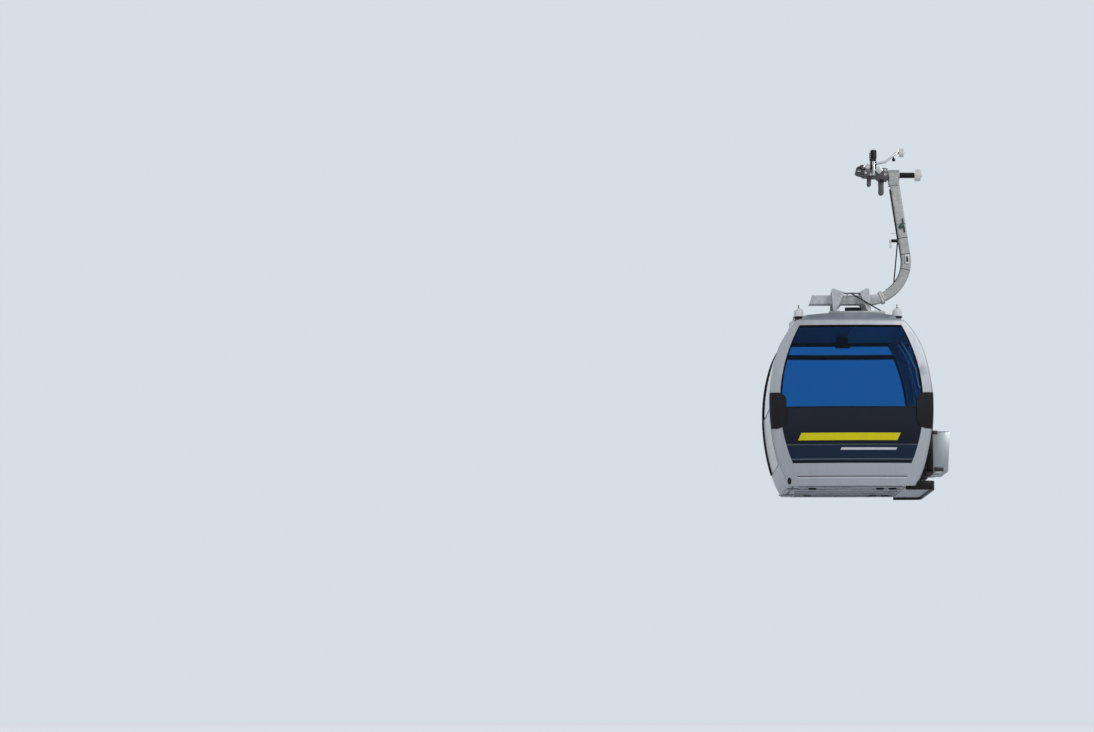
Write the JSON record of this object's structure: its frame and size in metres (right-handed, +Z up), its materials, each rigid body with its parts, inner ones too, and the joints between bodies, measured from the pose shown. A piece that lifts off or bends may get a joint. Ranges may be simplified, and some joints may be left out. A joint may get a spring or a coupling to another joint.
{
  "type": "eight-seat gondola cabin with hanger and rope grip",
  "caption": "Enclosed gondola cabin with curved windows, sliding doors and ski racks, hung from a C-shaped arm with a spring grip that clamps an overhead rope.",
  "frame": {"origin": "the rope's centre in the middle of the grip's jaws", "axes": "+Y along the rope, +Z up, +X towards the doors and the hanger's arm"},
  "size_m": [2.113, 1.9576, 4.116],
  "materials": {
    "silver_frame": "satin silver powder coat",
    "galvanised_steel": "hot-dip galvanised",
    "grip_casting": "zinc-plated casting",
    "jaw_steel": "dark forged steel",
    "bright_steel": "bright machined steel",
    "black_rubber": "matt rubber",
    "roller_white": "cast polyamide",
    "tinted_glass": "blue-grey tinted, 8 mm",
    "dark_panel": "dark blue-grey enamel",
    "roof_grey": "grey paint, weathered",
    "cap_white": "white plastic",
    "rack_grey": "brushed",
    "floor_plate": "chequer plate",
    "dark_lining": "grained lining",
    "seat_shell": "moulded shell with ribs"
  },
  "bodies": {
    "grip": {"grip_body": "grip_casting", "grip_springs": "jaw_steel", "spring_caps": "black_rubber", "guide_plates": "bright_steel", "grip_tongue": "grip_casting", "lever_pin": "bright_steel", "pivot_shaft": "bright_steel", "shaft_sleeve": "black_rubber"},
    "lever": {"grip_lever": "bright_steel"},
    "lever_roller": {"lever_roller": "roller_white"},
    "runner_roller": {"runner_roller": "roller_white"},
    "cabin": {"hanger_arm": "galvanised_steel", "carrying_beam": "galvanised_steel", "door_cable": "black_rubber", "door_lever": "bright_steel", "hanger_rubbers": "black_rubber", "left_yoke": "galvanised_steel", "right_yoke": "galvanised_steel", "braces": "galvanised_steel", "roof_rails": "galvanised_steel", "roof_buffer": "black_rubber", "roof": "roof_grey", "ceiling": "dark_lining", "ceiling_unit": "dark_lining", "cap_rings": "black_rubber", "corner_caps": "cap_white", "front_upper_frame": "silver_frame", "rear_upper_frame": "silver_frame", "front_lower_frame": "silver_frame", "rear_lower_frame": "silver_frame", "front_window": "tinted_glass", "rear_window": "tinted_glass", "rear_vent_pane": "tinted_glass", "rear_vent_bar": "dark_lining", "front_panel": "dark_panel", "rear_panel": "dark_panel", "corner_bumpers": "black_rubber", "roof_side_rails": "silver_frame", "left_window": "tinted_glass", "left_panel": "dark_panel", "sills": "silver_frame", "left_guide": "rack_grey", "door_posts": "silver_frame", "corner_windows": "tinted_glass", "corner_panels": "dark_panel", "door_rail": "silver_frame", "step": "floor_plate", "step_edge": "black_rubber", "floor": "floor_plate", "underframe": "floor_plate", "front_seat": "seat_shell", "rear_seat": "seat_shell", "front_backrest": "seat_shell", "rear_backrest": "seat_shell"},
    "front_door": {"front_door": "silver_frame", "front_door_pane": "tinted_glass", "front_ski_rack": "rack_grey"},
    "rear_door": {"rear_door": "silver_frame", "rear_door_pane": "tinted_glass", "rear_ski_rack": "rack_grey"}
  },
  "joints": [
    {"name": "hanger_swing", "type": "hinge", "parent": "grip", "child": "cabin", "pos_m": [0.412, 0, -0.05], "axis": [1, 0, 0], "range_deg": [-45, 45]},
    {"name": "lever_open", "type": "hinge", "parent": "grip", "child": "lever", "pos_m": [0.098, 0, 0.034], "axis": [0, 1, 0], "range_deg": [0, 15], "stiffness_Nm_per_rad": 400, "springref_deg": -20.05},
    {"name": "lever_roller_spin", "type": "hinge", "parent": "lever", "child": "lever_roller", "pos_m": [0.504, 0, 0.221], "axis": [1, 0, 0], "continuous": true},
    {"name": "runner_spin", "type": "hinge", "parent": "grip", "child": "runner_roller", "pos_m": [0.6935, 0, -0.05], "axis": [1, 0, 0], "continuous": true},
    {"name": "front_door_slide", "type": "slide", "parent": "cabin", "child": "front_door", "axis": [0, -1, 0], "range_m": [0, 0.4]},
    {"name": "rear_door_slide", "type": "slide", "parent": "cabin", "child": "rear_door", "axis": [0, 1, 0], "range_m": [0, 0.4]}
  ],
  "couplings": [
    {"joint": "front_door_slide", "follows": "rear_door_slide", "ratio": 1}
  ]
}
